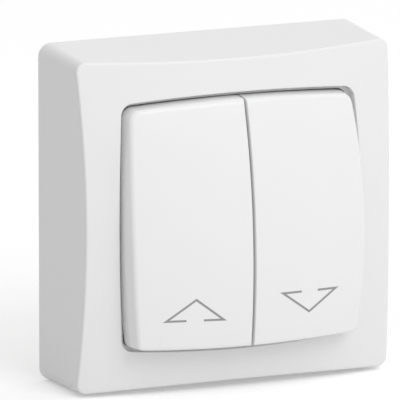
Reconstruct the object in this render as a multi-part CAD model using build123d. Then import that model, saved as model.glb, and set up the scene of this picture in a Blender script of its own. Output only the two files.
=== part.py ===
from build123d import *
import math
import os

os.makedirs("parts", exist_ok=True)

# A roller shutter switch with two rockers, for mounting on a wall surface. Millimetres.
# Every piece is drawn lying on its back: x to the right, y up the wall, z out of the wall,
# with the wall plane at z = 0. upright() then stands it up, so that the row's +Z is up and
# the wall plane is y = 0.

# Cover
cover_side = 80.0
cover_corner_rear = 3.2
cover_corner_front = 2.0
corner_draft = 2.2
side_draft = 4.4
front_apex = 28.1
front_radius = 217.0
ridge_bevel = 0.3
cover_wall = 2.0
front_skin = 2.2
collar_wall = 1.4
collar_bottom = 17.0
collar_rib_x = 13.3
collar_rib_thickness = 1.2
collar_rib_bottom = 21.5
ledge_thickness = 1.2
ledge_reach = 3.0
loft_over = 1.9

# Opening for the rockers
opening_half = 30.45
opening_bow = 1.4
opening_corner_radius = 3.0
opening_edge_bevel = 0.25

# Rockers
rocker_gap = 0.95
seam_gap = 0.56
rocker_rise = 5.8
rocker_radius = 132.0
rocker_skin = 1.6
skirt_wall = 1.3
skirt_below_pivot = 1.5
rocker_bevel = 0.7
key_tilt = 4.7
pivot_depth = 4.1

# Base plate
base_gap = 0.4
base_floor = 1.8
rim_wall = 1.4
rim_inset = 1.4
rim_top = 7.0
catch_width = 12.0
catch_reach = 0.85
hook_reach = 1.1
hook_bottom = 2.0
hook_height = 1.4
hook_gap = 0.1
wall_screw_spacing = 60.0
wall_slot_width = 4.2
wall_slot_length = 8.4
slot_boss_wall = 1.4
slot_boss_top = 3.6
cable_entry_width = 32.0
cable_entry_height = 6.8
cable_entry_y = 31.1
cable_entry_radius = 2.0
base_corner_radius = 2.2
rim_corner_radius = 1.2
post_radius = 3.0
post_bore = 1.3
post_hole_floor = 0.9
stud_half = 2.0
stud_inset = 4.0

# Mechanism housing
housing_bottom = 5.6
housing_floor = 1.9
housing_wall = 1.4
chamber_height = 7.7
housing_corner_radius = 1.5
barrier_wall = 1.0
seesaw_room = 3.1
strip_side_room = 0.6
clamp_room = 0.4
clamp_end_room = 0.1
ear_reach = 4.5
ear_radius = 4.0
ear_rise = 0.6
ear_thickness = 2.0
screw_clearance = 0.15
strip_clearance = 0.15

# Mechanism cover and bearings
cap_thickness = 1.6
cap_overhang = 1.4
tube_slot_half_x = 3.7
tube_slot_half_y = 4.7
arm_thickness = 1.6
arm_foot = 8.0
arm_head = 5.6
arm_above_pivot = 2.4
arm_gap = 0.3
running_clearance = 0.05
snap_width = 2.5
tab_width = 5.0
tab_y = 13.0
tab_thickness = 1.1
tab_length = 5.5
tab_gap = 0.1
tab_side_bar = 0.4
tab_window_z = 1.0
tab_window_height = 1.8
nub_side_gap = 0.1
nub_height = 1.6
nub_reach = 0.8

# Carriers, plungers and springs
carrier_half_x = 7.5
table_thickness = 1.8
table_above_pivot = 1.6
hub_radius = 2.9
trunnion_radius = 1.6
trunnion_beyond_arm = 0.2
carrier_rib = 1.2
tube_radius = 3.1
tube_length = 7.6
tube_bore = 2.15
tube_end_wall = 1.0
carrier_rib_below_pivot = 1.0
plunger_radius = 2.0
plunger_gap = 0.1
plunger_nose_angles = (15, 50, 90)
spring_space = 6.0
plunger_pin_radius = 0.8
plunger_pin_length = 2.0
spring_wire_radius = 0.28
spring_radius = 1.5
spring_turns = 4
spring_runs_per_turn = 10
spring_end_gap = 0.05
claw_x = 4.9
claw_y = 10.0
claw_thickness = 1.2
claw_width = 3.6
claw_barb = 0.5
claw_hold = 0.25
claw_barb_height = 1.1
claw_below_table = 1.2
claw_foot = 5.0
claw_end_bar = 2.0
claw_play = 0.2
seat_rib_x = 2.8
seat_rib_half_y = 12.5

# Contacts
strip_thickness = 0.8
strip_width = 3.0
leg_width = 1.8
side_leg_offset = 5.2
seesaw_above_strip = 2.2
seesaw_rise = 1.0
seesaw_half_length = 8.0
seesaw_width = 5.0
seesaw_corner = 1.2
seesaw_tilt = 6.0
lug_radius = 0.5
lug_length = 1.5
cheek_thickness = 0.5
cheek_half_y = 1.2
tip_y = 6.5
tip_half = 1.2
moving_tip_thickness = 0.7
tip_gap = 0.1
tip_margin = 0.4
ear_gap = 0.25
bracket_ear_above = 0.9
bracket_half_y = 2.0
live_clamp_offset = 6.4
output_clamp_offset = 1.6
clamp_x_size = 6.4
clamp_y_size = 6.0
clamp_height = 6.5
wire_opening_half = 1.7
wire_opening_rise = 2.3
wire_entry_half = 2.1

# Screws
terminal_screw_radius = 1.5
terminal_head_radius = 2.4
terminal_head_height = 2.0
terminal_head_rise = 0.4
terminal_screw_reach = 2.3
driver_slot_width = 0.7
driver_slot_depth = 0.9
fixing_thread_radius = 1.5
fixing_head_radius = 2.8
fixing_head_height = 1.8
fixing_screw_length = 5.5

# Heights above the wall that follow from the ones above
loft_height = front_apex + loft_over
rocker_apex = front_apex + rocker_rise
pivot_z = front_apex - pivot_depth
skirt_bottom = pivot_z - skirt_below_pivot
table_bottom = pivot_z + table_above_pivot
table_top = table_bottom + table_thickness
tube_bottom = pivot_z - tube_length
tube_bore_top = pivot_z - tube_end_wall
plunger_shoulder = tube_bore_top - spring_space
strip_bottom = housing_bottom + housing_floor
strip_top = strip_bottom + strip_thickness
seesaw_z = strip_top + seesaw_above_strip
housing_top = strip_top + chamber_height
cap_top = housing_top + cap_thickness
tab_bottom = housing_top - tab_length
ear_bottom = housing_bottom + ear_rise
clamp_top = strip_top + clamp_height
wire_opening_z = strip_top + wire_opening_rise
terminal_screw_tip = clamp_top - terminal_screw_reach
fixed_tip_top = (
    seesaw_z
    + (seesaw_rise - strip_thickness - moving_tip_thickness) * math.cos(math.radians(seesaw_tilt))
    - (tip_y + tip_half) * math.sin(math.radians(seesaw_tilt))
    - tip_gap
)
plunger_tip = seesaw_z + seesaw_rise + plunger_gap

# Places across the wall that follow from the ones above
rocker_half = opening_half - rocker_gap
cell_x = (seam_gap / 2 + rocker_half) / 2
table_half_y = claw_y + claw_width / 2 + claw_play + claw_end_bar
side_leg_x = cell_x + side_leg_offset
live_clamp_x = cell_x - live_clamp_offset
output_clamp_x = cell_x + output_clamp_offset
housing_half_x = side_leg_x + leg_width / 2 + strip_side_room + housing_wall
barrier_y = seesaw_half_length + seesaw_room + barrier_wall / 2
clamp_y = barrier_y + barrier_wall / 2 + clamp_room + clamp_y_size / 2
housing_half_y = clamp_y + clamp_y_size / 2 + clamp_end_room + housing_wall
ear_y = housing_half_y + ear_reach
stud_place_x = housing_half_x - stud_inset
stud_place_y = housing_half_y - stud_inset


def upright(shape):
    return Rot(90, 0, 0) * shape


def save(name, shape):
    """Stands a piece up and writes it. Pieces of several solids go in as one group."""
    export_step(upright(shape), f"parts/{name}.step")


def slab(x0, x1, y0, y1, z0, z1):
    """Box between two corners."""
    return Pos((x0 + x1) / 2, (y0 + y1) / 2, (z0 + z1) / 2) * Box(x1 - x0, y1 - y0, z1 - z0)


def rod_z(x, y, z0, z1, radius):
    return Pos(x, y, (z0 + z1) / 2) * Cylinder(radius, z1 - z0)


def rod_x(x0, x1, y, z, radius):
    return Pos((x0 + x1) / 2, y, z) * Rot(0, 90, 0) * Cylinder(radius, x1 - x0)


def tip(x, y, z0, z1):
    """Square contact pad, or the stop of the same form."""
    return slab(x - tip_half, x + tip_half, y - tip_half, y + tip_half, z0, z1)


def swing(shape, y, z, degrees):
    """Turns a shape about a line along x."""
    return Pos(0, y, z) * Rot(degrees, 0, 0) * Pos(0, -y, -z) * shape


def bowed_outline(half, bow):
    """Square outline whose sides stand out by bow at their middles."""
    corner = half - bow
    corners = [(-corner, -corner), (corner, -corner), (corner, corner), (-corner, corner)]
    middles = [(0, -half), (half, 0), (0, half), (-half, 0)]
    sides = [ThreePointArc(corners[i], middles[i], corners[(i + 1) % 4]) for i in range(4)]
    return make_face(sides)


def bowed_square(half, bow, radius):
    face = bowed_outline(half, bow)
    return fillet(face.vertices(), radius)


def cover_block():
    """The cover's drafted walls as a solid block with sharp corners.

    The walls lean in by corner_draft at the corners and by side_draft at mid-side, so each one
    starts straight at the wall and ends slightly hollow at the front.
    """
    half = cover_side / 2
    corner = half - loft_height * math.tan(math.radians(corner_draft))
    middle = half - loft_height * math.tan(math.radians(side_draft))
    rear = Rectangle(cover_side, cover_side)
    front = Pos(0, 0, loft_height) * bowed_outline(middle, middle - corner)
    return loft([rear, front], ruled=True)


def corner_trim():
    """What rounding takes off one upright corner of the cover: a leaning cone, wide at the wall."""
    rear = cover_side / 2 - cover_corner_rear
    lean = loft_height * math.tan(math.radians(corner_draft))
    front = cover_side / 2 - lean - cover_corner_front
    start = Vector(rear, rear, 0)
    end = Vector(front, front, loft_height)
    axis = Plane(origin=start, x_dir=(1, 0, 0), z_dir=end - start)
    length = (end - start).length
    narrowing = (cover_corner_rear - cover_corner_front) / length * loft_over
    wide = cover_corner_rear + narrowing
    narrow = cover_corner_front - narrowing
    corner = (Align.MIN, Align.MIN, Align.MIN)
    centred = (Align.CENTER, Align.CENTER, Align.MIN)
    height = length + 2 * loft_over
    trim = Box(2 * wide, 2 * wide, height, align=corner) - Cone(wide, narrow, height, align=centred)
    return axis * Pos(0, 0, -loft_over) * trim


def dome(apex, radius):
    """Ball with its poles to the sides, so that the used part at the front is a plain patch."""
    return Pos(0, 0, apex - radius) * Rot(90, 0, 0) * Sphere(radius)


def wedge_rib(width, reach, height, z, flip):
    """A snap ridge along x: flat on one side, sloping on the other, pointing to +y from y = 0."""
    if flip:
        outline = Polyline((0, z), (reach, z + height), (0, z + height), close=True)
    else:
        outline = Polyline((0, z), (reach, z), (0, z + height), close=True)
    face = make_face(Plane.YZ * outline)
    return extrude(face, width / 2, both=True)


def outer_frame():
    """Cover: one moulding with drafted walls, domed front, collar with ledge round the opening and hooks."""
    block = cover_block() & dome(front_apex, front_radius)
    for quarter in range(4):
        block -= Rot(0, 0, 90 * quarter) * corner_trim()
    front = block.faces().sort_by(Axis.Z)[-1]
    block = chamfer(front.edges(), ridge_bevel)
    inside = cover_side - 2 * cover_wall
    hollow = extrude(Rectangle(inside, inside), loft_height, taper=side_draft)
    shell = block - (hollow & dome(front_apex - front_skin, front_radius))
    outside = opening_half + collar_wall
    outside_corner = opening_corner_radius + collar_wall
    collar = extrude(bowed_square(outside, opening_bow, outside_corner), front_apex)
    for quarter in range(4):
        for x in (-collar_rib_x, collar_rib_x):
            side = collar_rib_thickness / 2
            rib = slab(x - side, x + side, opening_half, cover_side / 2, collar_rib_bottom, front_apex)
            collar += Rot(0, 0, 90 * quarter) * rib
    above_base = slab(-cover_side, cover_side, -cover_side, cover_side, collar_bottom, front_apex)
    shell += collar & block & above_base
    opening = bowed_square(opening_half, opening_bow, opening_corner_radius)
    shell -= extrude(Pos(0, 0, collar_bottom + ledge_thickness) * opening, front_apex)
    inner_half = opening_half - ledge_reach
    shell -= extrude(bowed_square(inner_half, opening_bow, opening_corner_radius), front_apex)
    front = shell.faces().sort_by(Axis.Z)[-1]
    shell = chamfer(front.inner_wires()[0].edges(), opening_edge_bevel)
    inner_wall = cover_side / 2 - cover_wall
    for quarter in range(4):
        hook = wedge_rib(catch_width, hook_reach, hook_height, hook_bottom, True)
        shell += Rot(0, 0, 90 * quarter) * Pos(0, inner_wall, 0) * mirror(hook, Plane.XZ)
    return shell


def base_plate():
    """Wall base: floor with rim, catches for the cover, slots for wall screws, cable entries and posts."""
    half = cover_side / 2 - cover_wall - base_gap
    rim_half = half - rim_inset
    plate = extrude(RectangleRounded(2 * half, 2 * half, base_corner_radius), base_floor)
    rim_outer = RectangleRounded(2 * rim_half, 2 * rim_half, base_corner_radius)
    inside = 2 * (rim_half - rim_wall)
    rim_inner = RectangleRounded(inside, inside, rim_corner_radius)
    plate += extrude(rim_outer - rim_inner, rim_top)
    catch_z = hook_bottom + hook_height + hook_gap
    for quarter in range(4):
        catch = wedge_rib(catch_width, catch_reach, hook_height, catch_z, False)
        plate += Rot(0, 0, 90 * quarter) * Pos(0, rim_half, 0) * catch
    for side in (-1, 1):
        x = side * wall_screw_spacing / 2
        boss = SlotOverall(wall_slot_length + 2 * slot_boss_wall, wall_slot_width + 2 * slot_boss_wall)
        plate += extrude(Pos(x, 0) * boss, slot_boss_top)
        slot = SlotOverall(wall_slot_length, wall_slot_width)
        plate -= extrude(Pos(x, 0) * slot, slot_boss_top)
        entry = RectangleRounded(cable_entry_width, cable_entry_height, cable_entry_radius)
        plate -= extrude(Pos(0, side * cable_entry_y) * entry, base_floor)
        plate += rod_z(0, side * ear_y, 0, ear_bottom, post_radius)
        plate -= rod_z(0, side * ear_y, post_hole_floor, ear_bottom, post_bore)
        for other in (-1, 1):
            stud_x = other * stud_place_x
            stud_y = side * stud_place_y
            plate += slab(
                stud_x - stud_half,
                stud_x + stud_half,
                stud_y - stud_half,
                stud_y + stud_half,
                base_floor,
                housing_bottom,
            )
    return plate


def strip_boxes(side):
    """Bars of the output strip of one cell: under its fixed tip, along the side and to its clamp."""
    inner = cell_x - tip_half - tip_margin
    outer = side_leg_x + leg_width / 2
    bars = [
        (inner, outer, tip_y - strip_width / 2, tip_y + strip_width / 2),
        (outer - leg_width, outer, -clamp_y - strip_width / 2, tip_y + strip_width / 2),
        (output_clamp_x - clamp_x_size / 2, outer, -clamp_y - strip_width / 2, -clamp_y + strip_width / 2),
    ]
    if side > 0:
        return bars
    return [(-x1, -x0, y0, y1) for x0, x1, y0, y1 in bars]


def bracket_ears(centre_x):
    """Two upright ears with open notches, in which the lugs of a moving contact rest."""
    inner = seesaw_width / 2 + ear_gap
    ears = Part()
    for side in (-1, 1):
        x = centre_x + side * (inner + strip_thickness / 2)
        ears += slab(
            x - strip_thickness / 2,
            x + strip_thickness / 2,
            -bracket_half_y,
            bracket_half_y,
            strip_bottom,
            seesaw_z + bracket_ear_above,
        )
    notch = lug_radius + running_clearance
    span = inner + 2 * strip_thickness
    ears -= rod_x(centre_x - span, centre_x + span, 0, seesaw_z, notch)
    ears -= slab(
        centre_x - span, centre_x + span, -notch, notch, seesaw_z, seesaw_z + 2 * bracket_ear_above
    )
    return ears


def flat_strip(boxes):
    strip = Part()
    for x0, x1, y0, y1 in boxes:
        strip += slab(x0, x1, y0, y1, strip_bottom, strip_top)
    return strip


bracket_reach = seesaw_width / 2 + ear_gap + strip_thickness
live_boxes = [
    (
        -live_clamp_x - clamp_x_size / 2,
        live_clamp_x + clamp_x_size / 2,
        clamp_y - strip_width / 2,
        clamp_y + strip_width / 2,
    ),
    (-live_clamp_x - leg_width / 2, -live_clamp_x + leg_width / 2, -bracket_half_y, clamp_y),
    (-cell_x - bracket_reach, -live_clamp_x + leg_width / 2, -bracket_half_y, bracket_half_y),
]
link_boxes = [
    (
        -cell_x - tip_half - tip_margin,
        live_clamp_x + leg_width / 2,
        -tip_y - strip_width / 2,
        -tip_y + strip_width / 2,
    ),
    (live_clamp_x - leg_width / 2, live_clamp_x + leg_width / 2, -tip_y - strip_width / 2, bracket_half_y),
    (live_clamp_x - leg_width / 2, cell_x + bracket_reach, -bracket_half_y, bracket_half_y),
]
clamp_places = {
    "live": (-live_clamp_x, clamp_y),
    "loop": (live_clamp_x, clamp_y),
    "up": (-output_clamp_x, -clamp_y),
    "down": (output_clamp_x, -clamp_y),
}


def mechanism_housing():
    """Insulating tray that holds strips, clamps and moving contacts, with two fixing ears."""
    outer = RectangleRounded(2 * housing_half_x, 2 * housing_half_y, housing_corner_radius)
    tray = extrude(Pos(0, 0, housing_bottom) * outer, housing_top - housing_bottom)
    inner_x = housing_half_x - housing_wall
    inner_y = housing_half_y - housing_wall
    tray -= slab(-inner_x, inner_x, -inner_y, inner_y, strip_bottom, housing_top)
    for side in (-1, 1):
        wall_y = side * barrier_y
        tray += slab(
            -inner_x,
            inner_x,
            wall_y - barrier_wall / 2,
            wall_y + barrier_wall / 2,
            strip_bottom,
            housing_top,
        )
        ear = rod_z(0, side * ear_y, ear_bottom, ear_bottom + ear_thickness, ear_radius)
        ear += slab(
            -ear_radius,
            ear_radius,
            min(side * inner_y, side * ear_y),
            max(side * inner_y, side * ear_y),
            ear_bottom,
            ear_bottom + ear_thickness,
        )
        tray += ear
        tray -= rod_z(
            0,
            side * ear_y,
            ear_bottom,
            ear_bottom + ear_thickness,
            fixing_thread_radius + screw_clearance,
        )
        for y in (-tab_y, tab_y):
            nub_width = tab_width - 2 * (tab_side_bar + nub_side_gap)
            nub_z = tab_bottom + tab_window_z + nub_side_gap
            nub = wedge_rib(nub_width, nub_reach, nub_height, nub_z, False)
            tray += Rot(0, 0, -90 * side) * Pos(side * -y, housing_half_x, 0) * nub
    for x, y in clamp_places.values():
        outward = math.copysign(1, y)
        tray -= slab(
            x - wire_entry_half,
            x + wire_entry_half,
            min(outward * inner_y, outward * housing_half_y),
            max(outward * inner_y, outward * housing_half_y),
            wire_opening_z - wire_entry_half,
            wire_opening_z + wire_entry_half,
        )
    play = strip_clearance
    for x0, x1, y0, y1 in live_boxes + link_boxes + strip_boxes(1) + strip_boxes(-1):
        for wall_y in (-barrier_y, barrier_y):
            if y0 < wall_y < y1:
                tray -= slab(
                    x0 - play,
                    x1 + play,
                    wall_y - barrier_wall / 2,
                    wall_y + barrier_wall / 2,
                    strip_bottom,
                    strip_top + play,
                )
    tray += tip(cell_x, -tip_y, strip_bottom, fixed_tip_top)
    return tray


def mechanism_cover():
    """Plate over the tray with four snap-in bearing arms for the rocker carriers."""
    half_x = housing_half_x + cap_overhang
    plate_sketch = RectangleRounded(2 * half_x, 2 * housing_half_y, housing_corner_radius)
    plate = extrude(Pos(0, 0, housing_top) * plate_sketch, cap_thickness)
    for x, y in clamp_places.values():
        plate -= rod_z(x, y, housing_top, cap_top, terminal_head_radius + 2 * screw_clearance)
    for side in (-1, 1):
        centre = side * cell_x
        plate -= slab(
            centre - tube_slot_half_x,
            centre + tube_slot_half_x,
            -tube_slot_half_y,
            tube_slot_half_y,
            housing_top,
            cap_top,
        )
        for hand in (-1, 1):
            near = carrier_half_x + arm_gap
            x = centre + hand * (near + arm_thickness / 2)
            outline = Polyline(
                (-arm_foot / 2, cap_top - cap_thickness / 2),
                (arm_foot / 2, cap_top - cap_thickness / 2),
                (arm_head / 2, pivot_z + arm_above_pivot),
                (-arm_head / 2, pivot_z + arm_above_pivot),
                close=True,
            )
            arm = extrude(make_face(Plane.YZ * outline), arm_thickness / 2, both=True)
            bore = trunnion_radius + running_clearance
            arm -= rod_x(-arm_thickness, arm_thickness, 0, pivot_z, bore)
            arm -= slab(
                -arm_thickness,
                arm_thickness,
                -snap_width / 2,
                snap_width / 2,
                pivot_z,
                pivot_z + arm_above_pivot,
            )
            plate += Pos(x, 0, 0) * arm
        for y in (-tab_y, tab_y):
            x0 = housing_half_x + tab_gap
            tab = slab(
                min(side * x0, side * (x0 + tab_thickness)),
                max(side * x0, side * (x0 + tab_thickness)),
                y - tab_width / 2,
                y + tab_width / 2,
                tab_bottom,
                housing_top,
            )
            tab -= slab(
                min(side * x0, side * (x0 + tab_thickness)),
                max(side * x0, side * (x0 + tab_thickness)),
                y - tab_width / 2 + tab_side_bar,
                y + tab_width / 2 - tab_side_bar,
                tab_bottom + tab_window_z,
                tab_bottom + tab_window_z + tab_window_height,
            )
            plate += tab
    return plate


def rocker(side):
    """One key cap: a domed shell with a skirt, seat ribs and four claws. side is -1 left, 1 right."""
    corner_radius = opening_corner_radius - rocker_gap / 2
    both = bowed_square(rocker_half, opening_bow, corner_radius)
    height = rocker_apex - skirt_bottom
    seam = seam_gap / 2
    reach = 2 * rocker_half
    cell = slab(seam, reach, -reach, reach, skirt_bottom, rocker_apex)
    block = extrude(Pos(0, 0, skirt_bottom) * both, height) & cell & dome(rocker_apex, rocker_radius)
    front = block.faces().sort_by(Axis.Z)[-1]
    seam_edge = front.edges().sort_by(Axis.X)[0]
    outer_edges = front.edges() - ShapeList([seam_edge])
    block = chamfer(outer_edges, rocker_bevel)
    inner = bowed_square(rocker_half - skirt_wall, opening_bow, corner_radius - skirt_wall / 2)
    inner_cell = slab(seam + skirt_wall, reach, -reach, reach, skirt_bottom, rocker_apex)
    hollow = extrude(Pos(0, 0, skirt_bottom) * inner, height)
    hollow = hollow & inner_cell & dome(rocker_apex - rocker_skin, rocker_radius)
    shell = block - hollow
    inside = Part()
    for hand in (-1, 1):
        rib_x = cell_x + hand * seat_rib_x
        inside += slab(
            rib_x - carrier_rib / 2,
            rib_x + carrier_rib / 2,
            -seat_rib_half_y,
            seat_rib_half_y,
            table_top,
            rocker_apex,
        )
        for end in (-1, 1):
            x = cell_x + hand * claw_x
            y = end * claw_y
            leg_bottom = table_bottom - claw_below_table
            inside += slab(
                x - claw_thickness / 2,
                x + claw_thickness / 2,
                y - claw_width / 2,
                y + claw_width / 2,
                leg_bottom,
                rocker_apex,
            )
            barb = wedge_rib(claw_width, claw_barb, claw_barb_height, leg_bottom, True)
            inside += Pos(x + hand * claw_thickness / 2, y, 0) * Rot(0, 0, -90 * hand) * barb
    shell += inside & block
    shell += inside & slab(0, reach, -reach, reach, 0, skirt_bottom + claw_foot)
    if side < 0:
        return mirror(shell, Plane.YZ)
    return shell


def carrier(side):
    """Pivoting seat under a key cap, with trunnions, two ribs and the plunger tube."""
    table = slab(-carrier_half_x, carrier_half_x, -table_half_y, table_half_y, table_bottom, table_top)
    piece = table + rod_x(-carrier_half_x, carrier_half_x, 0, pivot_z, hub_radius)
    reach = carrier_half_x + arm_gap + arm_thickness + trunnion_beyond_arm
    piece += rod_x(-reach, reach, 0, pivot_z, trunnion_radius)
    for hand in (-1, 1):
        x = hand * (carrier_half_x - carrier_rib / 2)
        outline = Polyline(
            (-table_half_y, table_bottom),
            (-hub_radius, pivot_z - carrier_rib_below_pivot),
            (hub_radius, pivot_z - carrier_rib_below_pivot),
            (table_half_y, table_bottom),
            close=True,
        )
        piece += Pos(x, 0, 0) * extrude(make_face(Plane.YZ * outline), carrier_rib / 2, both=True)
        for end in (-1, 1):
            window_in = claw_x - claw_thickness / 2 - claw_play
            window_out = claw_x + claw_thickness / 2 + claw_barb - claw_hold
            piece -= slab(
                min(hand * window_in, hand * window_out),
                max(hand * window_in, hand * window_out),
                end * claw_y - claw_width / 2 - claw_play,
                end * claw_y + claw_width / 2 + claw_play,
                table_bottom - carrier_rib_below_pivot - table_above_pivot,
                table_top,
            )
    piece += rod_z(0, 0, tube_bottom, pivot_z, tube_radius)
    piece -= rod_z(0, 0, tube_bottom, tube_bore_top, tube_bore)
    return Pos(side * cell_x, 0, 0) * piece


def plunger(side):
    """Round-nosed pin that slides in the carrier's tube and presses on the moving contact."""
    turns = [math.radians(angle) for angle in plunger_nose_angles]
    centre = plunger_tip + plunger_radius
    outline = [(plunger_radius * math.sin(t), centre - plunger_radius * math.cos(t)) for t in turns]
    outline.append((plunger_radius, plunger_shoulder))
    outline.append((plunger_pin_radius, plunger_shoulder))
    outline.append((plunger_pin_radius, plunger_shoulder + plunger_pin_length))
    outline.append((0, plunger_shoulder + plunger_pin_length))
    outline.append((0, outline[0][1]))
    pin = revolve(make_face(Plane.XZ * Polyline(*outline, close=True)), Axis.Z)
    return Pos(side * cell_x, 0, 0) * pin


def plunger_spring(side):
    """Compression spring between the plunger's shoulder and the end of the tube's bore."""
    margin = spring_wire_radius + spring_end_gap
    length = tube_bore_top - plunger_shoulder - 2 * margin
    runs = spring_turns * spring_runs_per_turn
    points = []
    for i in range(runs + 1):
        angle = 2 * math.pi * i / spring_runs_per_turn
        points.append((spring_radius * math.cos(angle), spring_radius * math.sin(angle), length * i / runs))
    path = Polyline(*points)
    section = Plane(origin=path @ 0, z_dir=path % 0) * RegularPolygon(spring_wire_radius, 6)
    coil = sweep(section, path, transition=Transition.RIGHT)
    return Pos(side * cell_x, 0, plunger_shoulder + margin) * coil


def contact_arm(side):
    """Seesaw contact strip with a lug at each side."""
    top = seesaw_z + seesaw_rise
    arm = slab(
        -seesaw_width / 2,
        seesaw_width / 2,
        -seesaw_half_length,
        seesaw_half_length,
        top - strip_thickness,
        top,
    )
    arm = chamfer(arm.edges().filter_by(Axis.Z), seesaw_corner)
    for hand in (-1, 1):
        inner = seesaw_width / 2 - cheek_thickness
        outer = seesaw_width / 2
        arm += slab(
            min(hand * inner, hand * outer),
            max(hand * inner, hand * outer),
            -cheek_half_y,
            cheek_half_y,
            seesaw_z - lug_radius,
            top - strip_thickness / 2,
        )
        lug_end = outer + lug_length
        arm += rod_x(
            min(hand * inner, hand * lug_end), max(hand * inner, hand * lug_end), 0, seesaw_z, lug_radius
        )
    return Pos(side * cell_x, 0, 0) * arm


def moving_tips(side):
    """Two silver alloy pads welded under the ends of a moving contact."""
    top = seesaw_z + seesaw_rise - strip_thickness
    return Compound([tip(side * cell_x, y, top - moving_tip_thickness, top) for y in (-tip_y, tip_y)])


def clamp(place):
    """Brass cage clamp with a square wire opening and a hole for its screw."""
    x, y = place
    block = slab(
        x - clamp_x_size / 2,
        x + clamp_x_size / 2,
        y - clamp_y_size / 2,
        y + clamp_y_size / 2,
        strip_top,
        clamp_top,
    )
    block -= slab(
        x - wire_opening_half,
        x + wire_opening_half,
        y - clamp_y_size / 2,
        y + clamp_y_size / 2,
        wire_opening_z - wire_opening_half,
        wire_opening_z + wire_opening_half,
    )
    block -= rod_z(x, y, wire_opening_z, clamp_top, terminal_screw_radius + running_clearance)
    return block


def screw(x, y, tip_z, under_head_z, shank, head, head_height):
    """Slotted screw with a cylindrical head, pointing at the wall."""
    piece = rod_z(x, y, tip_z, under_head_z, shank)
    piece += rod_z(x, y, under_head_z, under_head_z + head_height, head)
    top = under_head_z + head_height
    half = driver_slot_width / 2
    piece -= slab(x - head, x + head, y - half, y + half, top - driver_slot_depth, top)
    return piece


def terminal_screws():
    return Compound(
        [
            screw(
                x,
                y,
                terminal_screw_tip,
                clamp_top + terminal_head_rise,
                terminal_screw_radius,
                terminal_head_radius,
                terminal_head_height,
            )
            for x, y in clamp_places.values()
        ]
    )


def mechanism_screws():
    seat = ear_bottom + ear_thickness
    return Compound(
        [
            screw(
                0,
                y,
                seat - fixing_screw_length,
                seat,
                post_bore,
                fixing_head_radius,
                fixing_head_height,
            )
            for y in (-ear_y, ear_y)
        ]
    )


def fixed_tips():
    """Silver alloy pads welded on the strips: both running contacts and the rest contact on the left."""
    places = [(-cell_x, tip_y), (cell_x, tip_y), (-cell_x, -tip_y)]
    return Compound([tip(x, y, strip_top, fixed_tip_top) for x, y in places])


save("outer_frame", outer_frame())
save("base_plate", base_plate())
save("mechanism_housing", mechanism_housing())
save("mechanism_cover", mechanism_cover())
save("live_rail", flat_strip(live_boxes) + bracket_ears(-cell_x))
save("link_strip", flat_strip(link_boxes) + bracket_ears(cell_x))
save("up_strip", flat_strip(strip_boxes(-1)))
save("down_strip", flat_strip(strip_boxes(1)))
save("fixed_tips", fixed_tips())
save("terminal_screws", terminal_screws())
save("mechanism_screws", mechanism_screws())
for label, place in clamp_places.items():
    save(f"{label}_clamp", clamp(place))
for label, side in (("left", -1), ("right", 1)):
    save(f"{label}_rocker", swing(rocker(side), 0, pivot_z, -key_tilt))
    save(f"{label}_carrier", swing(carrier(side), 0, pivot_z, -key_tilt))
    save(f"{label}_plunger", swing(plunger(side), 0, pivot_z, -key_tilt))
    save(f"{label}_spring", swing(plunger_spring(side), 0, pivot_z, -key_tilt))
    save(f"{label}_contact_arm", swing(contact_arm(side), 0, seesaw_z, seesaw_tilt))
    save(f"{label}_moving_tips", swing(moving_tips(side), 0, seesaw_z, seesaw_tilt))
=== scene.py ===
import math

import bmesh
import bpy
from mathutils import Matrix, Vector


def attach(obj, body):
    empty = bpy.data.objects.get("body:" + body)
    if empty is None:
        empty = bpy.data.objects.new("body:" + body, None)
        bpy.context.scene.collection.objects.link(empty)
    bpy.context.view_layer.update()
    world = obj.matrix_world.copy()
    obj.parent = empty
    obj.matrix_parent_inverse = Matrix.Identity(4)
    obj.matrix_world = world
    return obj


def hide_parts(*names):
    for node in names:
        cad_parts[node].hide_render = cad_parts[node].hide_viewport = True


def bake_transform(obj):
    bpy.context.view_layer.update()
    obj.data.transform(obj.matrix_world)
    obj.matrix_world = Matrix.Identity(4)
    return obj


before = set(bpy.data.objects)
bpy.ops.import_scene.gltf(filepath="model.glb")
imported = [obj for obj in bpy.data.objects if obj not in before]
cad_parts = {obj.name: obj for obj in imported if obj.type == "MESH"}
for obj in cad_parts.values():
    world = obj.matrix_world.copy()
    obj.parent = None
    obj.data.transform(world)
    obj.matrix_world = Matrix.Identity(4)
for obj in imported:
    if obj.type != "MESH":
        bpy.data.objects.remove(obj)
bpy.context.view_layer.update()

# Cover: one injection moulding in glossy white plastic. Its walls lean in and draw in slightly at
# mid-side, and its front is domed. In the opening a shallow step lies close round the rockers, with
# a collar and a ledge below it. It snaps over the catches of the base plate.
mm = 0.001
cover_half = 40.0 * mm
wall_rise = 30.0 * mm
corner_draft = math.radians(2.2)
side_draft = math.radians(4.4)
cover_corner_rear = 3.2 * mm
cover_corner_front = 1.9 * mm
least_corner = 0.4 * mm
front_apex = 28.1 * mm
front_radius = 217.0 * mm
cover_wall = 2.0 * mm
front_skin = 2.2 * mm
rear_band = 0.8 * mm
ridge_band = 0.9 * mm
ridge_round = 0.4 * mm
opening_half = 30.33 * mm
opening_bow = 1.28 * mm
opening_corner = 3.0 * mm
opening_round = 0.2 * mm
step_depth = 1.7 * mm
step_fall = 1.2 * mm
step_fall_power = 4
step_half = 29.68 * mm
step_bow = 1.55 * mm
step_upper_corner = 2.8 * mm
step_lower_corner = 1.8 * mm
step_thickness = 0.7 * mm
step_end_trim = 0.41 * mm
step_trim_half = 26.9 * mm
ledge_top = 18.2 * mm
ledge_bottom = 17.0 * mm
ledge_reach = 2.25 * mm
collar_wall = 1.4 * mm
side_steps = 40
corner_steps = 10
front_shares = (0.1, 0.22, 0.36, 0.5, 0.64, 0.78, 0.9, 1.0)
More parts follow.
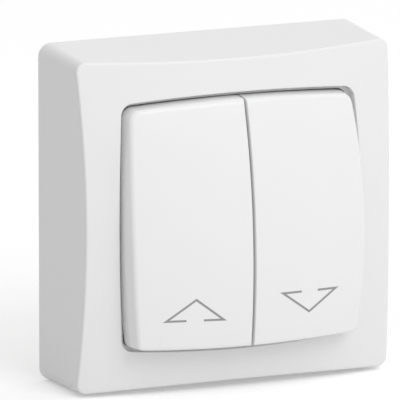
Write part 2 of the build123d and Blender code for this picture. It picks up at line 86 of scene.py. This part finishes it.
ridge_ring = 4
rim_segments = 5
outline_rounds = 4
ridge_rounds = 6
weld_distance = 1e-7
crisp_angle = math.radians(30)
lie_to_stand = Matrix.Rotation(math.pi / 2, 4, "X")


def on_outline(column, half, bow, radius):
    """Plan place of one column of the cover's mesh on a rounded square whose sides stand out by bow."""
    quarter, step = divmod(column, side_steps + corner_steps)
    end = half - bow
    centre = half - radius
    for _ in range(outline_rounds):
        centre = half - radius - bow * (centre / end) ** 2
    slope = math.atan(2 * bow * centre / end**2)
    if step <= side_steps:
        x = (centre + radius * math.sin(slope)) * (2 * step / side_steps - 1)
        y = -(half - bow * (x / end) ** 2)
    else:
        turn = slope - math.pi / 2 + (math.pi / 2 - 2 * slope) * (step - side_steps) / corner_steps
        x = centre + radius * math.cos(turn)
        y = -centre + radius * math.sin(turn)
    return Matrix.Rotation(quarter * math.pi / 2, 2) @ Vector((x, y))


def dome_height(x, y, apex, radius):
    return apex - radius + math.sqrt(radius**2 - x**2 - y**2)


def front_height(place):
    return dome_height(place.x, place.y, front_apex, front_radius)


def on_wall(column, height, inset=0.0):
    """Plan place on the leaning wall at a height above the base, drawn in by inset."""
    middle = cover_half - wall_rise * math.tan(side_draft)
    corner = cover_half - wall_rise * math.tan(corner_draft)
    rear_corner = max(cover_corner_rear - inset, least_corner)
    front_corner = max(cover_corner_front - inset, least_corner)
    rear = on_outline(column, cover_half - inset, 0, rear_corner)
    front = on_outline(column, middle - inset, middle - corner, front_corner)
    return rear.lerp(front, height / wall_rise)


def ridge_height(column):
    """Height at which the leaning wall meets the domed front."""
    height = front_apex
    for _ in range(ridge_rounds):
        height = front_height(on_wall(column, height))
    return height


def opening_place(column, out=0.0):
    return on_outline(column, opening_half + out, opening_bow, opening_corner + out)


def step_level(column):
    """Height of the shallow step round the rockers, which falls away towards their upper ends."""
    place = opening_place(column)
    fall = step_fall * max(place.y / opening_half, 0) ** step_fall_power
    return front_height(place) - step_depth - fall


def step_place(column):
    """Inner edge of the step, set in a little above and below the rockers."""
    radius = step_upper_corner if opening_place(column).y > 0 else step_lower_corner
    place = on_outline(column, step_half, step_bow, radius)
    trim = step_end_trim * max(1 - (place.x / step_trim_half) ** 2, 0)
    return Vector((place.x, place.y * (1 - trim / step_half)))


def cover_section(column):
    """Points of the cover's section, from the rear edge over the ridge and opening to the inner side."""
    ridge = ridge_height(column)
    opening = opening_place(column)
    step = step_place(column)
    level = step_level(column)
    ledge = opening_place(column, -ledge_reach)
    collar = opening_place(column, collar_wall)
    section = [
        (on_wall(column, 0), 0),
        (on_wall(column, rear_band), rear_band),
        (on_wall(column, ridge / 2), ridge / 2),
        (on_wall(column, ridge - ridge_band), ridge - ridge_band),
        (on_wall(column, ridge), ridge),
    ]
    for share in front_shares:
        place = on_wall(column, ridge).lerp(opening, share)
        section.append((place, front_height(place)))
    section += [
        (opening, level),
        (step, level),
        (step, level - step_thickness),
        (opening, level - step_thickness),
        (opening, ledge_top),
        (ledge, ledge_top),
        (ledge, ledge_bottom),
        (collar, ledge_bottom),
        (collar, front_height(collar) - front_skin),
        (on_wall(column, ridge - front_skin, cover_wall), ridge - front_skin),
        (on_wall(column, 0, cover_wall), 0),
        (on_wall(column, 0), 0),
    ]
    return [(*place, height) for place, height in section]


def edges_among(bm, members):
    return [e for e in bm.edges if e.verts[0] in members and e.verts[1] in members]


def cover_mesh():
    """A circle of columns, extruded ring by ring along the section, closed and rounded at two rims."""
    bm = bmesh.new()
    column = bm.verts.layers.int.new("column")
    columns = 4 * (side_steps + corner_steps)
    circle = bmesh.ops.create_circle(bm, cap_ends=False, segments=columns, radius=cover_half)
    ring = set(circle["verts"])
    for index, vert in enumerate(circle["verts"]):
        vert[column] = index
    sections = [cover_section(index) for index in range(columns)]
    rings = []
    for number in range(len(sections[0])):
        if number:
            grown = bmesh.ops.extrude_edge_only(bm, edges=edges_among(bm, ring))["geom"]
            ring = {g for g in grown if isinstance(g, bmesh.types.BMVert)}
        for vert in ring:
            vert.co = sections[vert[column]][number]
        rings.append(ring)
    bmesh.ops.remove_doubles(bm, verts=bm.verts, dist=weld_distance)
    opening_ring = ridge_ring + len(front_shares)
    for number, size in ((ridge_ring, ridge_round), (opening_ring, opening_round)):
        rim = edges_among(bm, {v for v in rings[number] if v.is_valid})
        bmesh.ops.bevel(
            bm,
            geom=rim,
            offset=size,
            offset_type="OFFSET",
            affect="EDGES",
            segments=rim_segments,
            profile=0.5,
            material=-1,
        )
    bm.transform(lie_to_stand)
    return bm


def finish_mesh(name, bm, body):
    """Makes the object of a piece, smooth but for its crisp edges, and hangs it on its body."""
    bmesh.ops.recalc_face_normals(bm, faces=bm.faces)
    mesh = bpy.data.meshes.new(name)
    bm.to_mesh(mesh)
    bm.free()
    for face in mesh.polygons:
        face.use_smooth = True
    mesh.set_sharp_from_angle(angle=crisp_angle)
    piece = bpy.data.objects.new(name, mesh)
    bpy.context.scene.collection.objects.link(piece)
    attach(piece, body)
    return piece


def new_material(name):
    material = bpy.data.materials.new(name)
    material.use_nodes = True
    return material


def add_noise(tree, vector, scale, detail):
    """Noise along a vector, given back as the socket with its value."""
    noise = tree.nodes.new("ShaderNodeTexNoise")
    noise.inputs["Scale"].default_value = scale
    noise.inputs["Detail"].default_value = detail
    tree.links.new(vector, noise.inputs["Vector"])
    return noise.outputs["Fac"]


def vary_colour(tree, amount, colour, share):
    """Lets the base colour go from a colour to a share of it."""
    tint = tree.nodes.new("ShaderNodeMix")
    tint.data_type = "RGBA"
    tint.inputs["A"].default_value = (*colour, 1)
    tint.inputs["B"].default_value = (*[share * c for c in colour], 1)
    tree.links.new(amount, tint.inputs["Factor"])
    tree.links.new(tint.outputs["Result"], tree.nodes["Principled BSDF"].inputs["Base Color"])


def vary_gloss(tree, amount, roughness, spread):
    """Lets the roughness go a share of itself up and down."""
    gloss = tree.nodes.new("ShaderNodeMapRange")
    gloss.inputs["To Min"].default_value = roughness * (1 - spread)
    gloss.inputs["To Max"].default_value = roughness * (1 + spread)
    tree.links.new(amount, gloss.inputs["Value"])
    tree.links.new(gloss.outputs["Result"], tree.nodes["Principled BSDF"].inputs["Roughness"])


def white_plastic(name, colour, roughness, grain):
    """Moulded plastic: a faint flow mottling in the colour, a fine skin grain and uneven gloss."""
    material = new_material(name)
    tree = material.node_tree
    shader = tree.nodes["Principled BSDF"]
    shader.inputs["IOR"].default_value = 1.5
    place = tree.nodes.new("ShaderNodeTexCoord").outputs["Object"]
    flow = add_noise(tree, place, scale=45, detail=3)
    vary_colour(tree, flow, colour, share=0.975)
    vary_gloss(tree, flow, roughness, spread=0.1)
    skin = add_noise(tree, place, scale=2200, detail=2)
    bump = tree.nodes.new("ShaderNodeBump")
    bump.inputs["Strength"].default_value = grain
    bump.inputs["Distance"].default_value = 0.02 * mm
    tree.links.new(skin, bump.inputs["Height"])
    tree.links.new(bump.outputs["Normal"], shader.inputs["Normal"])
    return material


cover = finish_mesh("cover", cover_mesh(), "switch_body")
cover_white = white_plastic("cover_white", (0.88, 0.88, 0.88), roughness=0.26, grain=0.10)
cover.data.materials.append(cover_white)
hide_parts("outer_frame")

# Rockers: two thin-walled key caps in the same glossy white plastic, domed, softly rounded along
# the outer side and crisper elsewhere. The upper end wall is curved where it swings past the step.
# Each cap clips on its carrier with four claws and rests with its upper end pressed in.
rocker_half = 29.6 * mm
rocker_end_half = 29.0 * mm
rocker_bow = 1.4 * mm
rocker_corner = 2.3 * mm
rocker_lower_corner = 1.6 * mm
seam_half = 0.28 * mm
rocker_apex = 33.9 * mm
rocker_radius = 132.0 * mm
flatter_across = 0.955
domed_depth = 2.5 * mm
rocker_skin = 1.6 * mm
skirt_wall = 1.3 * mm
skirt_bottom = 21.3 * mm
pivot_height = 24.0 * mm
key_tilt = math.radians(-4.7)
swing_radius = 29.2 * mm
swing_rise = 2.4 * mm
lean_level = 29.0 * mm
side_lean = 0.38 * mm
end_lean = 0.55 * mm
side_round = 0.9 * mm
upper_round = 0.8 * mm
lower_round = 0.4 * mm
seam_round = 0.2 * mm
corner_segments = 8
edge_segments = 5
wall_levels = 7
face_pitch = 1.5 * mm
pick_margin = 0.01 * mm
cut_distance = 1e-6


def rest_of_key():
    """From a rocker drawn level and lying on its back to its place at rest."""
    pivot = Matrix.Translation((0, 0, pivot_height))
    return lie_to_stand @ pivot @ Matrix.Rotation(key_tilt, 4, "X") @ pivot.inverted()


def face_height(x, y):
    return dome_height(flatter_across * x, y, rocker_apex, rocker_radius)


def extrude_up(bm, faces, rise):
    grown = bmesh.ops.extrude_face_region(bm, geom=faces)["geom"]
    lifted = [g for g in grown if isinstance(g, bmesh.types.BMVert)]
    bmesh.ops.translate(bm, verts=lifted, vec=(0, 0, rise))


def cut_across(bm, place, normal):
    """Adds an edge wherever a plane crosses the mesh."""
    geom = bm.verts[:] + bm.edges[:] + bm.faces[:]
    bmesh.ops.bisect_plane(bm, geom=geom, dist=cut_distance, plane_co=place, plane_no=normal)


def edge_rounding(edge):
    """Radius for one edge of the face: least at the seam, more at the ends, most along the side."""
    middle = (edge.verts[0].co + edge.verts[1].co) / 2
    if middle.x < seam_half + pick_margin:
        return seam_round
    at_end, corner = (upper_round, rocker_corner) if middle.y > 0 else (lower_round, rocker_lower_corner)
    towards_side = (middle.x - (rocker_half - corner)) / corner
    blend = min(max(towards_side, 0), 1)
    return at_end + (side_round - at_end) * blend


def rocker_block():
    """Level and straight-sided cap, hollow from below, with a weight on each edge of its face."""
    bm = bmesh.new()
    bmesh.ops.create_grid(bm, x_segments=1, y_segments=1, size=rocker_half)
    for vert in bm.verts:
        vert.co.x = max(vert.co.x, seam_half)
        vert.co.z = skirt_bottom
    far = rocker_half - pick_margin
    for way, size in ((1, rocker_corner), (-1, rocker_lower_corner)):
        bmesh.ops.bevel(
            bm,
            geom=[v for v in bm.verts if v.co.x > far and v.co.y * way > far],
            offset=size,
            offset_type="OFFSET",
            affect="VERTICES",
            segments=corner_segments,
            profile=0.5,
            material=-1,
        )
    extrude_up(bm, bm.faces[:], rocker_apex - skirt_bottom)
    bottom = min(bm.faces, key=lambda f: f.calc_center_median().z)
    bmesh.ops.inset_region(bm, faces=[bottom], thickness=skirt_wall, use_even_offset=True)
    extrude_up(bm, [bottom], rocker_apex - rocker_skin - skirt_bottom)
    if bottom.is_valid:
        bmesh.ops.delete(bm, geom=[bottom], context="FACES_ONLY")
    bmesh.ops.recalc_face_normals(bm, faces=bm.faces)
    weight = bm.edges.layers.float.new("bevel_weight_edge")
    for edge in bm.edges:
        if min(v.co.z for v in edge.verts) > rocker_apex - pick_margin:
            edge[weight] = edge_rounding(edge) / side_round
    return bm


def round_edges(bm):
    """Rounds the edges by their weights, with a modifier, which can take a radius for each edge."""
    block = bpy.data.meshes.new("block")
    bm.to_mesh(block)
    bm.free()
    holder = bpy.data.objects.new("block", block)
    bpy.context.scene.collection.objects.link(holder)
    rounding = holder.modifiers.new("rounding", "BEVEL")
    rounding.limit_method = "WEIGHT"
    rounding.offset_type = "OFFSET"
    rounding.width = side_round
    rounding.segments = edge_segments
    evaluated = holder.evaluated_get(bpy.context.evaluated_depsgraph_get())
    rounded = bpy.data.meshes.new_from_object(evaluated)
    bm = bmesh.new()
    bm.from_mesh(rounded)
    bpy.data.objects.remove(holder)
    bpy.data.meshes.remove(block)
    bpy.data.meshes.remove(rounded)
    return bm


def bowed_place(x, y, z):
    """Where a point of the block goes in plan: bowed sides that lean in, and an upper end wall that
    follows the arc of its swing as high as the step."""
    end = rocker_half - rocker_bow
    side_reach = rocker_half - rocker_bow * (y / end) ** 2
    middle_reach = swing_radius if y > 0 else rocker_end_half
    end_reach = middle_reach - (middle_reach - end) * (x / end) ** 2
    rise = max(z - lean_level, 0) / (rocker_apex - lean_level)
    side_reach -= side_lean * rise
    if y > 0:
        above_pivot = min(z - pivot_height, swing_rise)
        end_reach -= swing_radius - math.sqrt(swing_radius**2 - above_pivot**2)
        end_reach -= end_lean * rise
    x = seam_half + (x - seam_half) * (side_reach - seam_half) / (rocker_half - seam_half)
    return x, y * end_reach / rocker_half


def rocker_mesh(side):
    """The rounded block, divided finely, bowed in plan, domed and tilted to its place at rest."""
    bm = round_edges(rocker_block())
    cuts = int(rocker_half / face_pitch)
    for step in range(-cuts, cuts + 1):
        at = step * face_pitch
        for normal in ((1, 0, 0), (0, 1, 0)):
            cut_across(bm, (at, at, 0), normal)
    for step in range(1, wall_levels + 1):
        at = skirt_bottom + (lean_level - skirt_bottom) * step / wall_levels
        cut_across(bm, (0, 0, at), (0, 0, 1))
    for vert in bm.verts:
        x, y = bowed_place(*vert.co)
        z = vert.co.z
        share = min((z - skirt_bottom) / (rocker_apex - domed_depth - skirt_bottom), 1)
        vert.co = (x * side, y, z - share * (rocker_apex - face_height(x, y)))
    bm.transform(rest_of_key())
    return bm


rocker_white = white_plastic("rocker_white", (0.90, 0.90, 0.90), roughness=0.22, grain=0.08)
for label, side in (("left", -1), ("right", 1)):
    cap = finish_mesh(f"{label}_key_cap", rocker_mesh(side), f"{label}_key")
    cap.data.materials.append(rocker_white)
    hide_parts(f"{label}_rocker")

# Marks: thin grey outline triangles pad-printed on the lower half of each key cap, with a gap in
# the middle of the base. The left one points up and the right one down.
mark_width = 15.4 * mm
mark_height = 5.47 * mm
mark_gap = 4.2 * mm
mark_line = 0.5 * mm
mark_pitch = 0.9 * mm
mark_cuts = 8
ink_thickness = 0.02 * mm
ink_sink = 0.01 * mm


def mark_mesh(place, lean, upward):
    """Triangle inset to a band of the line's width, opened at the gap and laid on the dome."""
    bm = bmesh.new()
    bmesh.ops.create_circle(bm, cap_ends=True, segments=3, radius=1)
    apex, *tips = sorted(bm.verts, key=lambda v: -v.co.y)
    apex.co = (0, mark_height / 2, 0)
    for tip, hand in zip(sorted(tips, key=lambda v: v.co.x), (-1, 1)):
        tip.co = (hand * mark_width / 2, -mark_height / 2, 0)
    inner = bm.faces[:]
    bmesh.ops.inset_region(bm, faces=inner, thickness=mark_line, use_boundary=True, use_even_offset=True)
    bmesh.ops.delete(bm, geom=inner, context="FACES_ONLY")
    cuts = [step * mark_pitch for step in range(-mark_cuts, mark_cuts + 1)]
    for at in cuts + [-mark_gap / 2, mark_gap / 2]:
        cut_across(bm, (at, 0, 0), (1, 0, 0))
    in_gap = []
    for face in bm.faces:
        middle = face.calc_center_median()
        if abs(middle.x) < mark_gap / 2 and middle.y < -mark_height / 2 + mark_line:
            in_gap.append(face)
    bmesh.ops.delete(bm, geom=in_gap, context="FACES")
    if not upward:
        bmesh.ops.scale(bm, verts=bm.verts, vec=(1, -1, 1))
    bmesh.ops.rotate(bm, verts=bm.verts, matrix=Matrix.Rotation(lean, 3, "Z"))
    bmesh.ops.translate(bm, verts=bm.verts, vec=(*place, 0))
    for vert in bm.verts:
        vert.co.z = face_height(vert.co.x, vert.co.y) - ink_sink
    extrude_up(bm, bm.faces[:], ink_sink + ink_thickness)
    bm.transform(rest_of_key())
    return bm


def printing_ink(name, colour):
    """Matt grey ink with a slightly uneven lay-down."""
    material = new_material(name)
    tree = material.node_tree
    tree.nodes["Principled BSDF"].inputs["Roughness"].default_value = 0.45
    place = tree.nodes.new("ShaderNodeTexCoord").outputs["Object"]
    lay = add_noise(tree, place, scale=1500, detail=2)
    vary_colour(tree, lay, colour, share=1.12)
    return material


grey_ink = printing_ink("grey_ink", (0.30, 0.30, 0.30))
for name, label, place, lean, upward in (
    ("up_mark", "left", (-14.45 * mm, -19.29 * mm), math.radians(-2.0), True),
    ("down_mark", "right", (14.1 * mm, -19.6 * mm), 0.0, False),
):
    mark = finish_mesh(name, mark_mesh(place, lean, upward), f"{label}_key")
    mark.data.materials.append(grey_ink)


# Base plate and the plastic pieces of the mechanism: plain off-white and pale grey mouldings, not
# polished. The base is screwed to the wall and the tray is screwed to its posts.
def dress(node, material):
    """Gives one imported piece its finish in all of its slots."""
    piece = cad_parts[node]
    piece.data.materials.clear()
    piece.data.materials.append(material)


base_white = white_plastic("base_white", (0.74, 0.74, 0.71), roughness=0.5, grain=0.35)
tray_grey = white_plastic("tray_grey", (0.60, 0.60, 0.58), roughness=0.55, grain=0.4)
carrier_white = white_plastic("carrier_white", (0.76, 0.76, 0.74), roughness=0.42, grain=0.3)
plunger_natural = white_plastic("plunger_natural", (0.72, 0.70, 0.60), roughness=0.38, grain=0.2)
dress("base_plate", base_white)
dress("mechanism_housing", tray_grey)
dress("mechanism_cover", tray_grey)
for label in ("left", "right"):
    dress(f"{label}_carrier", carrier_white)
    dress(f"{label}_plunger", plunger_natural)


# Metal pieces of the mechanism: stamped brass strips and seesaws, cage clamps, silver alloy pads,
# zinc-plated screws and drawn spring wire. They lie closed in behind the rockers.
def worked_metal(name, colour, roughness, stretch):
    """Bare metal with fine drawn lines along one direction and slightly uneven tarnish."""
    material = new_material(name)
    tree = material.node_tree
    tree.nodes["Principled BSDF"].inputs["Metallic"].default_value = 1.0
    place = tree.nodes.new("ShaderNodeTexCoord").outputs["Object"]
    along = tree.nodes.new("ShaderNodeMapping")
    along.inputs["Scale"].default_value = stretch
    tree.links.new(place, along.inputs["Vector"])
    lines = add_noise(tree, along.outputs["Vector"], scale=900, detail=4)
    vary_colour(tree, lines, colour, share=0.8)
    vary_gloss(tree, lines, roughness, spread=0.25)
    return material


brass = worked_metal("strip_brass", (0.72, 0.50, 0.22), roughness=0.32, stretch=(1, 1, 0.15))
clamp_brass = worked_metal("clamp_brass", (0.66, 0.46, 0.20), roughness=0.38, stretch=(0.2, 1, 1))
silver = worked_metal("contact_silver", (0.78, 0.77, 0.74), roughness=0.3, stretch=(1, 1, 1))
zinc = worked_metal("screw_zinc", (0.62, 0.62, 0.60), roughness=0.35, stretch=(1, 0.3, 1))
wire = worked_metal("spring_wire", (0.50, 0.50, 0.50), roughness=0.3, stretch=(1, 1, 0.4))
for node in ("live_rail", "link_strip", "up_strip", "down_strip", "left_contact_arm", "right_contact_arm"):
    dress(node, brass)
for node in ("live_clamp", "loop_clamp", "up_clamp", "down_clamp"):
    dress(node, clamp_brass)
for node in ("fixed_tips", "left_moving_tips", "right_moving_tips"):
    dress(node, silver)
for node in ("terminal_screws", "mechanism_screws"):
    dress(node, zinc)

# Springs: one small compression spring to each plunger, wound from drawn steel wire. It stands
# between the plunger's shoulder and the closed end of the carrier's tube. It shortens as the plunger
# goes in; here the coil is made once, at the length it has with the key at rest.
cell_x = 14.89 * mm
spring_foot = 17.33 * mm
spring_length = 5.34 * mm
spring_radius = 1.5 * mm
spring_wire_radius = 0.28 * mm
spring_turns = 4
points_per_turn = 24


def coil_mesh(side):
    """A round wire along a helix, made as a curve and turned into a mesh."""
    line = bpy.data.curves.new("coil", "CURVE")
    line.dimensions = "3D"
    line.bevel_depth = spring_wire_radius
    line.bevel_resolution = 2
    line.use_fill_caps = True
    spline = line.splines.new("POLY")
    runs = spring_turns * points_per_turn
    spline.points.add(runs)
    for index, point in enumerate(spline.points):
        turn = 2 * math.pi * index / points_per_turn
        x = side * cell_x + spring_radius * math.cos(turn)
        point.co = (x, spring_radius * math.sin(turn), spring_foot + spring_length * index / runs, 1)
    holder = bpy.data.objects.new("coil", line)
    mesh = bpy.data.meshes.new_from_object(holder)
    bpy.data.objects.remove(holder)
    bpy.data.curves.remove(line)
    mesh.transform(rest_of_key())
    return mesh


for label, side in (("left", -1), ("right", 1)):
    coil = bpy.data.objects.new(f"{label}_coil", coil_mesh(side))
    bpy.context.scene.collection.objects.link(coil)
    coil.data.materials.append(wire)
    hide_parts(f"{label}_spring")
    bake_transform(coil)

# Studio: a white sweep that the switch stands on, one large soft lamp above and to the right of
# the camera, and light from all round that falls off behind and to the left.
floor_level = -40.0 * mm
sweep_reach = 3.0
sweep_lift = 0.35
brightest_way = (0.52, -0.74, 0.53)
lamp_place = Vector((0.35, -1.6, 1.3))
lamp_side = 1.0
lamp_power = 9.3


def sweep_material():
    """White paper. Where the camera or a reflection sees it, it is lifted a little to read as white."""
    material = new_material("paper")
    tree = material.node_tree
    shader = tree.nodes["Principled BSDF"]
    shader.inputs["Base Color"].default_value = (0.80, 0.80, 0.80, 1)
    shader.inputs["Roughness"].default_value = 0.9
    shader.inputs["Specular IOR Level"].default_value = 0.1
    shader.inputs["Emission Color"].default_value = (1, 1, 1, 1)
    path = tree.nodes.new("ShaderNodeLightPath")
    seen = tree.nodes.new("ShaderNodeMath")
    seen.operation = "MAXIMUM"
    tree.links.new(path.outputs["Is Camera Ray"], seen.inputs[0])
    tree.links.new(path.outputs["Is Glossy Ray"], seen.inputs[1])
    lift = tree.nodes.new("ShaderNodeMath")
    lift.operation = "MULTIPLY"
    lift.inputs[1].default_value = sweep_lift
    tree.links.new(seen.outputs["Value"], lift.inputs[0])
    tree.links.new(lift.outputs["Value"], shader.inputs["Emission Strength"])
    return material


def light_room(tree):
    """Light by its direction, and plain white where the camera, a reflection or a clear piece shows it."""
    direction = tree.nodes.new("ShaderNodeTexCoord")
    towards_light = tree.nodes.new("ShaderNodeVectorMath")
    towards_light.operation = "DOT_PRODUCT"
    towards_light.inputs[1].default_value = brightest_way
    tree.links.new(direction.outputs["Generated"], towards_light.inputs[0])
    room = tree.nodes.new("ShaderNodeMapRange")
    room.inputs["From Min"].default_value = -0.6
    room.inputs["From Max"].default_value = 0.4
    room.inputs["To Min"].default_value = 0.12
    room.inputs["To Max"].default_value = 0.88
    tree.links.new(towards_light.outputs["Value"], room.inputs["Value"])
    strength = room.outputs["Result"]
    path = tree.nodes.new("ShaderNodeLightPath")
    for ray in ("Is Camera Ray", "Is Glossy Ray", "Is Transmission Ray"):
        brighter = tree.nodes.new("ShaderNodeMath")
        brighter.operation = "MAXIMUM"
        tree.links.new(strength, brighter.inputs[0])
        tree.links.new(path.outputs[ray], brighter.inputs[1])
        strength = brighter.outputs["Value"]
    background = tree.nodes["Background"]
    background.inputs["Color"].default_value = (1, 1, 1, 1)
    tree.links.new(strength, background.inputs["Strength"])


bm = bmesh.new()
bmesh.ops.create_grid(bm, x_segments=1, y_segments=1, size=sweep_reach)
bmesh.ops.translate(bm, verts=bm.verts, vec=(0, 0, floor_level))
floor_mesh = bpy.data.meshes.new("floor")
bm.to_mesh(floor_mesh)
bm.free()
floor = bpy.data.objects.new("floor", floor_mesh)
floor.data.materials.append(sweep_material())
bpy.context.scene.collection.objects.link(floor)

world = bpy.data.worlds.new("studio")
world.use_nodes = True
light_room(world.node_tree)
bpy.context.scene.world = world

lamp = bpy.data.lights.new("key_lamp", "AREA")
lamp.shape = "RECTANGLE"
lamp.size = lamp_side
lamp.size_y = lamp_side
lamp.energy = lamp_power
lamp_holder = bpy.data.objects.new("key_lamp", lamp)
lamp_holder.location = lamp_place
lamp_holder.rotation_euler = (-lamp_place).to_track_quat("-Z", "Y").to_euler()
bpy.context.scene.collection.objects.link(lamp_holder)

# Camera: where the photograph was taken from, slightly above and well to the left, and so far
# away that the sides of the switch hardly run together.
camera_place = Vector((-0.8688, -2.0553, 0.4768))
camera_right = Vector((0.9210, -0.3896, 0.0))
camera_forward = Vector((0.3810, 0.9006, -0.2091))
camera = bpy.data.objects.new("camera", bpy.data.cameras.new("camera"))
camera.data.sensor_width = 36
camera.data.lens = 878.4
camera.data.dof.use_dof = False
across = camera_right.normalized()
back = -camera_forward.normalized()
turn = Matrix((across, back.cross(across), back)).transposed()
camera.matrix_world = Matrix.Translation(camera_place) @ turn.to_4x4()
bpy.context.scene.collection.objects.link(camera)
bpy.context.scene.camera = camera
bpy.context.scene.view_settings.view_transform = "Standard"
